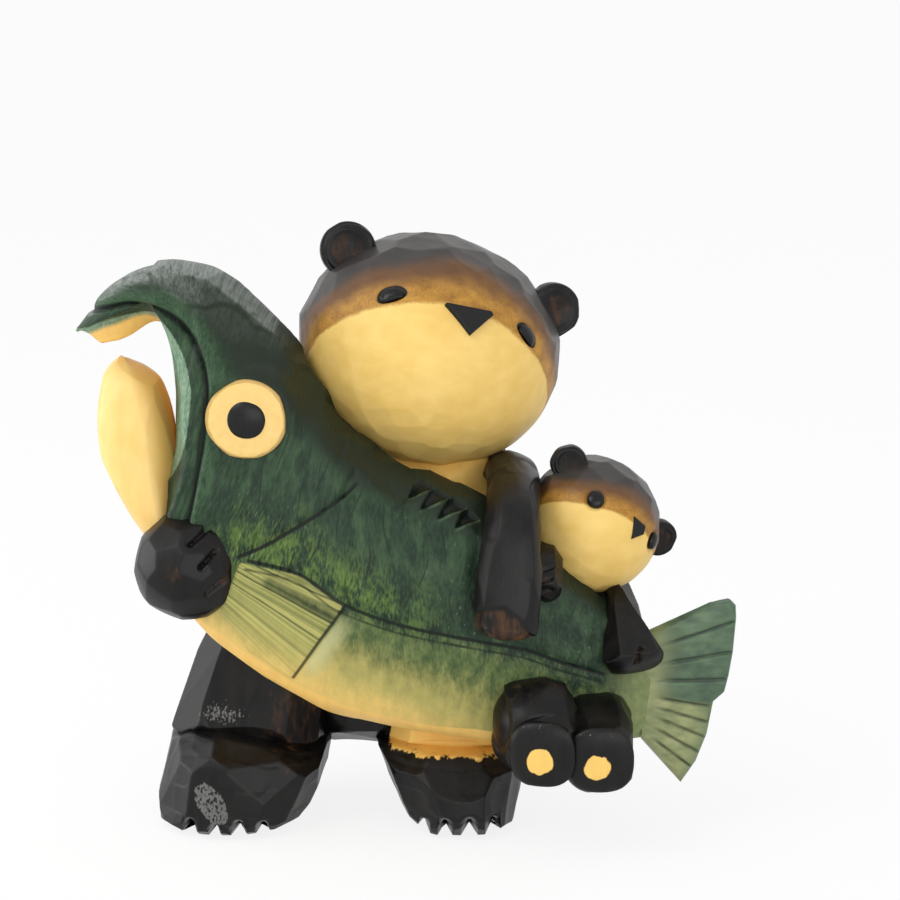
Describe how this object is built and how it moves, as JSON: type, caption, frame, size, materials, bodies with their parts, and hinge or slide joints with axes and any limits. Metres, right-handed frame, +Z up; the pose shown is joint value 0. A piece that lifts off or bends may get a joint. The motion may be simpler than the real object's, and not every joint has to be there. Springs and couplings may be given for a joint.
{
  "type": "carved wooden bear and fish figurine",
  "caption": "Carved and painted wooden figurine of a standing mother bear hugging a large open-mouthed fish, with a cub clinging behind its tail. Stands on flat feet.",
  "frame": {"origin": "on the shelf under the middle of the figurine, at the bottom centre of its bounding box", "axes": "+Z up, the bears look along -Y to the viewer, +X to the mother bear's left where the tail fin is"},
  "size_m": [0.1381, 0.0717, 0.1265],
  "materials": {
    "black_paint": "carved wood, charcoal paint, satin lacquer",
    "face_paint": "carved wood, cream and gold paint, satin lacquer",
    "fish_paint": "carved wood, green paint shaded to a cream belly, satin lacquer",
    "jaw_paint": "carved wood, cream paint, satin lacquer",
    "tail_paint": "carved wood, olive paint with dark cuts, satin lacquer",
    "eye_ring_paint": "turned wood, cream paint, satin lacquer",
    "gloss_black": "wood, black gloss paint",
    "dowel_wood": "bare wood"
  },
  "bodies": {
    "root": {"cub_head": "face_paint", "cub_left_arm": "black_paint", "cub_left_arm_pin": "dowel_wood", "cub_left_ear": "black_paint", "cub_left_eye": "gloss_black", "cub_left_leg": "black_paint", "cub_left_leg_pin": "dowel_wood", "cub_neck_dowel": "dowel_wood", "cub_nose": "gloss_black", "cub_right_arm": "black_paint", "cub_right_arm_pin": "dowel_wood", "cub_right_ear": "black_paint", "cub_right_eye": "gloss_black", "cub_right_leg": "black_paint", "cub_right_leg_pin": "dowel_wood", "cub_seat_dowel": "dowel_wood", "cub_torso": "black_paint", "fish_body": "fish_paint", "fish_far_eye": "eye_ring_paint", "fish_far_pupil": "gloss_black", "fish_front_dowel": "dowel_wood", "fish_lower_jaw": "jaw_paint", "fish_near_eye": "eye_ring_paint", "fish_near_pupil": "gloss_black", "fish_rear_dowel": "dowel_wood", "fish_tail_fin": "tail_paint", "jaw_dowel": "dowel_wood", "left_hip_dowel": "dowel_wood", "left_shoulder_dowel": "dowel_wood", "mother_head": "face_paint", "mother_left_arm": "black_paint", "mother_left_ear": "black_paint", "mother_left_eye": "gloss_black", "mother_left_leg": "black_paint", "mother_nose": "gloss_black", "mother_right_arm": "black_paint", "mother_right_ear": "black_paint", "mother_right_eye": "gloss_black", "mother_right_leg": "black_paint", "mother_torso": "black_paint", "neck_dowel": "dowel_wood", "right_hip_dowel": "dowel_wood", "right_shoulder_dowel": "dowel_wood", "tail_dowel": "dowel_wood"}
  },
  "joints": []
}
